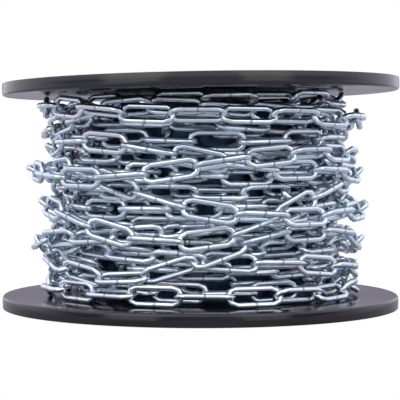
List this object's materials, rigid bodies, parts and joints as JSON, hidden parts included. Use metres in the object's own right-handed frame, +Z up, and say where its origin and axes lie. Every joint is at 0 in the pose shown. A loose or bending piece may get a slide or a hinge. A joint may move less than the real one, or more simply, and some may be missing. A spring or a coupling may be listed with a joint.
{
  "type": "zinc-plated long-link steel chain wound on a plastic reel",
  "caption": "Length of welded long-link steel chain, bright zinc-plated, wound in layers on a black plastic reel that stands on its round lower flange.",
  "frame": {"origin": "on the floor under the middle of the reel", "axes": "+Z up along the reel's axis; -Y towards the viewer of the picture; +X to the viewer's right"},
  "size_m": [0.2241, 0.224, 0.1293],
  "materials": {
    "reel_plastic": "black, moulded, satin to glossy",
    "chain_steel": "bright zinc plating"
  },
  "bodies": {
    "root": {"lower_flange": "reel_plastic", "upper_flange": "reel_plastic", "barrel": "reel_plastic", "chain_core": "chain_steel", "chain_turn_01": "chain_steel", "chain_turn_02": "chain_steel", "chain_turn_03": "chain_steel", "chain_turn_04": "chain_steel", "chain_turn_05": "chain_steel", "chain_turn_06": "chain_steel", "chain_turn_07": "chain_steel", "chain_turn_08": "chain_steel", "chain_turn_09": "chain_steel", "chain_turn_10": "chain_steel"}
  },
  "joints": []
}
